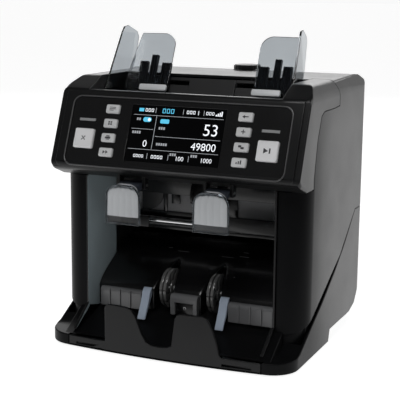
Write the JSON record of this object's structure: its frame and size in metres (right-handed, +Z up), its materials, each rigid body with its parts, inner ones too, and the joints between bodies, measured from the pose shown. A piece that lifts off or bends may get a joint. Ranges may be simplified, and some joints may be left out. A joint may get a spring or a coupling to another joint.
{
  "type": "banknote counter",
  "caption": "Desk-top two-pocket banknote counter with a note hopper on top, a tilted key and display console, a reject pocket behind hanging flaps and a front stacker.",
  "frame": {"origin": "on the table under the middle of the machine's bounding box", "axes": "+X to the operator's right, +Y to the back, +Z up"},
  "size_m": [0.252, 0.238, 0.304],
  "materials": {
    "housing": "fine-textured satin",
    "base_plastic": "fine-textured satin",
    "console_gloss": "gloss",
    "screen": "gloss",
    "key_silver": "satin silver",
    "light_bar": "frosted",
    "guide_smoke": "smoky clear",
    "comb_dark": "satin",
    "flap_frost": "frosted",
    "tray_gloss": "high gloss",
    "lip_grey": "satin",
    "ski_blue": "translucent",
    "liner_blue": "satin",
    "plate_grey": "satin",
    "steel": "brushed",
    "bright_shaft": "polished",
    "roller_rubber": "matte",
    "foot_rubber": "matte",
    "board_green": "solder mask",
    "motor_metal": "zinc",
    "white_gear": "satin",
    "port_black": "satin"
  },
  "bodies": {
    "machine": {"base_tray": "base_plastic", "front_stop_plate": "base_plastic", "side_cover_left": "housing", "side_cover_right": "housing", "head_cover": "housing", "top_cover": "housing", "console_panel": "console_gloss", "display_module": "screen", "status_lights": "light_bar", "keypad_boards": "board_green", "hopper_back_plate": "housing", "hopper_floor": "lip_grey", "flap_pins": "steel", "stacker_cover": "tray_gloss", "tray_lips": "lip_grey", "nose_sensor": "lip_grey", "stacker_skis": "ski_blue", "pocket_liners": "liner_blue", "reject_back_plate": "plate_grey", "chassis_plates": "steel", "shaft_bearings": "steel", "main_motor": "motor_metal", "drive_belt": "foot_rubber", "sensor_bar_front": "port_black", "sensor_bar_rear": "port_black", "separation_block": "port_black", "mainboard": "board_green", "power_supply": "steel", "rear_frame": "base_plastic", "power_inlet": "port_black", "data_ports": "steel", "feet": "foot_rubber", "cover_screws": "steel"},
    "left_guide": {"note_guide_left": "guide_smoke", "guide_comb_left": "comb_dark"},
    "right_guide": {"note_guide_right": "guide_smoke", "guide_comb_right": "comb_dark"},
    "guide_gear": {"guide_pinion": "white_gear"},
    "knob": {"thickness_knob": "port_black"},
    "flap_left": {"reject_flap_left": "flap_frost"},
    "flap_right": {"reject_flap_right": "flap_frost"},
    "door": {"rear_door": "housing"},
    "switch": {"power_switch": "port_black"},
    "gate": {"diverter_gate": "port_black"},
    "pickup": {"pickup_rollers": "roller_rubber"},
    "feed": {"feed_rollers": "roller_rubber"},
    "transport": {"transport_rollers": "roller_rubber"},
    "reject": {"reject_rollers": "bright_shaft"},
    "stacker": {"stacker_wheels": "roller_rubber"},
    "motor_rotor": {"motor_pulley": "steel"},
    "key_left_1_body": {"key_left_1": "key_silver"},
    "key_left_2_body": {"key_left_2": "key_silver"},
    "key_left_3_body": {"key_left_3": "key_silver"},
    "key_left_4_body": {"key_left_4": "key_silver"},
    "key_right_1_body": {"key_right_1": "key_silver"},
    "key_right_2_body": {"key_right_2": "key_silver"},
    "key_right_3_body": {"key_right_3": "key_silver"},
    "key_right_4_body": {"key_right_4": "key_silver"},
    "key_cancel_body": {"key_cancel": "key_silver"},
    "key_start_body": {"key_start": "key_silver"}
  },
  "joints": [
    {"name": "left_guide_slide", "type": "slide", "parent": "machine", "child": "left_guide", "axis": [1, 0, 0], "range_m": [0, 0.022]},
    {"name": "right_guide_slide", "type": "slide", "parent": "machine", "child": "right_guide", "axis": [-1, 0, 0], "range_m": [0, 0.022]},
    {"name": "guide_gear_spin", "type": "hinge", "parent": "machine", "child": "guide_gear", "pos_m": [0, 0.00396, 0.23963], "axis": [0, -0.9135, 0.4067], "range_deg": [-141, 1]},
    {"name": "knob_turn", "type": "hinge", "parent": "machine", "child": "knob", "pos_m": [0, 0.094, 0.262], "axis": [0, 0, 1], "range_deg": [-180, 180]},
    {"name": "left_flap_swing", "type": "hinge", "parent": "machine", "child": "flap_left", "pos_m": [-0.0445, -0.084, 0.159], "axis": [-1, 0, 0], "range_deg": [0, 25]},
    {"name": "right_flap_swing", "type": "hinge", "parent": "machine", "child": "flap_right", "pos_m": [0.0445, -0.084, 0.159], "axis": [-1, 0, 0], "range_deg": [0, 25]},
    {"name": "rear_door_hinge", "type": "hinge", "parent": "machine", "child": "door", "pos_m": [0, 0.114, 0.126], "axis": [-1, 0, 0], "range_deg": [0, 95]},
    {"name": "switch_rock", "type": "hinge", "parent": "machine", "child": "switch", "pos_m": [-0.03, 0.114, 0.088], "axis": [1, 0, 0], "range_deg": [-8, 8]},
    {"name": "gate_swing", "type": "hinge", "parent": "machine", "child": "gate", "pos_m": [0, 0.022, 0.103], "axis": [1, 0, 0], "range_deg": [-10, 10], "stiffness_Nm_per_rad": 0.1},
    {"name": "transport_spin", "type": "hinge", "parent": "machine", "child": "transport", "pos_m": [0, 0.036, 0.122], "axis": [1, 0, 0], "continuous": true},
    {"name": "feed_spin", "type": "hinge", "parent": "machine", "child": "feed", "pos_m": [0, -0.016, 0.184], "axis": [1, 0, 0], "continuous": true},
    {"name": "pickup_spin", "type": "hinge", "parent": "machine", "child": "pickup", "pos_m": [0, -0.038, 0.205], "axis": [1, 0, 0], "continuous": true},
    {"name": "reject_spin", "type": "hinge", "parent": "machine", "child": "reject", "pos_m": [0, -0.01, 0.109], "axis": [1, 0, 0], "continuous": true},
    {"name": "stacker_spin", "type": "hinge", "parent": "machine", "child": "stacker", "pos_m": [0, -0.04, 0.049], "axis": [1, 0, 0], "continuous": true},
    {"name": "motor_spin", "type": "hinge", "parent": "machine", "child": "motor_rotor", "pos_m": [0, 0.078, 0.095], "axis": [1, 0, 0], "continuous": true},
    {"name": "key_left_1_press", "type": "slide", "parent": "machine", "child": "key_left_1_body", "axis": [0, 0.9272, -0.3746], "range_m": [0, 0.001], "stiffness_N_per_m": 300, "springref_m": -0.001},
    {"name": "key_left_2_press", "type": "slide", "parent": "machine", "child": "key_left_2_body", "axis": [0, 0.9272, -0.3746], "range_m": [0, 0.001], "stiffness_N_per_m": 300, "springref_m": -0.001},
    {"name": "key_left_3_press", "type": "slide", "parent": "machine", "child": "key_left_3_body", "axis": [0, 0.9272, -0.3746], "range_m": [0, 0.001], "stiffness_N_per_m": 300, "springref_m": -0.001},
    {"name": "key_left_4_press", "type": "slide", "parent": "machine", "child": "key_left_4_body", "axis": [0, 0.9272, -0.3746], "range_m": [0, 0.001], "stiffness_N_per_m": 300, "springref_m": -0.001},
    {"name": "key_right_1_press", "type": "slide", "parent": "machine", "child": "key_right_1_body", "axis": [0, 0.9272, -0.3746], "range_m": [0, 0.001], "stiffness_N_per_m": 300, "springref_m": -0.001},
    {"name": "key_right_2_press", "type": "slide", "parent": "machine", "child": "key_right_2_body", "axis": [0, 0.9272, -0.3746], "range_m": [0, 0.001], "stiffness_N_per_m": 300, "springref_m": -0.001},
    {"name": "key_right_3_press", "type": "slide", "parent": "machine", "child": "key_right_3_body", "axis": [0, 0.9272, -0.3746], "range_m": [0, 0.001], "stiffness_N_per_m": 300, "springref_m": -0.001},
    {"name": "key_right_4_press", "type": "slide", "parent": "machine", "child": "key_right_4_body", "axis": [0, 0.9272, -0.3746], "range_m": [0, 0.001], "stiffness_N_per_m": 300, "springref_m": -0.001},
    {"name": "key_cancel_press", "type": "slide", "parent": "machine", "child": "key_cancel_body", "axis": [0, 0.9272, -0.3746], "range_m": [0, 0.001], "stiffness_N_per_m": 300, "springref_m": -0.001},
    {"name": "key_start_press", "type": "slide", "parent": "machine", "child": "key_start_body", "axis": [0, 0.9272, -0.3746], "range_m": [0, 0.001], "stiffness_N_per_m": 300, "springref_m": -0.001}
  ],
  "couplings": [
    {"joint": "right_guide_slide", "follows": "left_guide_slide", "ratio": 1},
    {"joint": "guide_gear_spin", "follows": "left_guide_slide", "rad_per_m": -111.11},
    {"joint": "feed_spin", "follows": "transport_spin", "ratio": 1},
    {"joint": "pickup_spin", "follows": "transport_spin", "ratio": 1},
    {"joint": "reject_spin", "follows": "transport_spin", "ratio": -1.5},
    {"joint": "stacker_spin", "follows": "transport_spin", "ratio": -0.25},
    {"joint": "motor_spin", "follows": "transport_spin", "ratio": 1.75}
  ]
}
